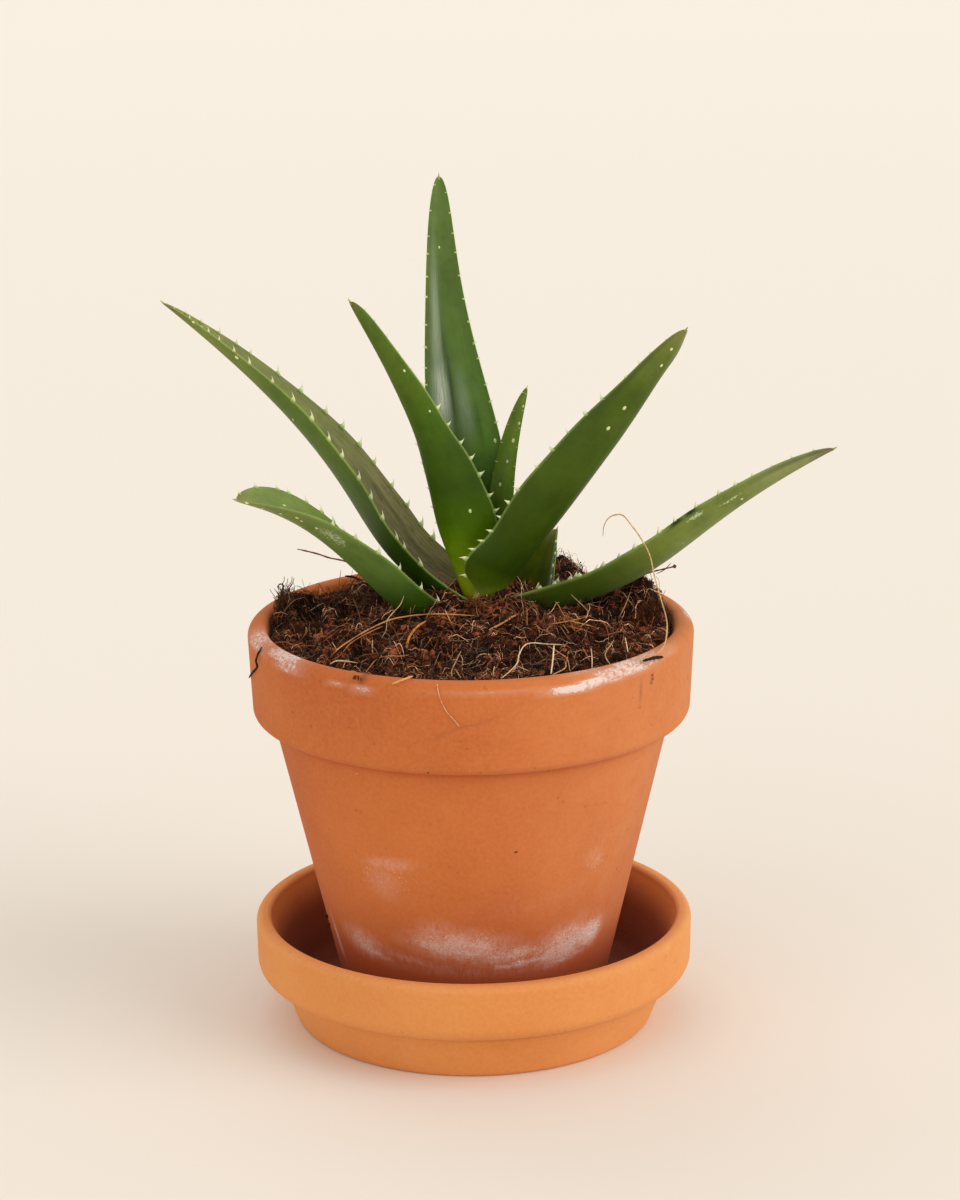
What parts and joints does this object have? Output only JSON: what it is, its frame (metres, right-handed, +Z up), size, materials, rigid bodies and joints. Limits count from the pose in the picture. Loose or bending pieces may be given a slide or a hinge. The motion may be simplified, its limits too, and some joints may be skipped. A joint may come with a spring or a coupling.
{
  "type": "potted aloe plant",
  "caption": "Young aloe with toothed, channelled leaves in mounded coir soil, in a tapered terracotta pot with a rim band, standing on its terracotta saucer.",
  "frame": {"origin": "centre of the flat foot under the saucer, on the surface it stands on", "axes": "+X to the right and +Y away from the viewer as the picture shows it, +Z up through the pot's axis"},
  "size_m": [0.196, 0.13, 0.2465],
  "materials": {
    "saucer_clay": "dry unglazed clay, matte, lighter orange",
    "pot_clay": "unglazed clay, matte, damp below and with salt bloom",
    "stem": "pale waxy plant tissue",
    "leaf": "waxy fleshy leaf, satin, pale teeth and spots",
    "coir": "damp coconut fibre, matte"
  },
  "bodies": {
    "root": {"saucer": "saucer_clay", "pot": "pot_clay", "stem_and_roots": "stem", "leaf_right_front": "leaf", "leaf_left_centre": "leaf", "leaf_young_centre": "leaf", "leaf_tall_back": "leaf", "leaf_left_long": "leaf", "leaf_left_low": "leaf", "leaf_right_long": "leaf", "leaf_right_short": "leaf", "coir_soil": "coir"}
  },
  "joints": []
}
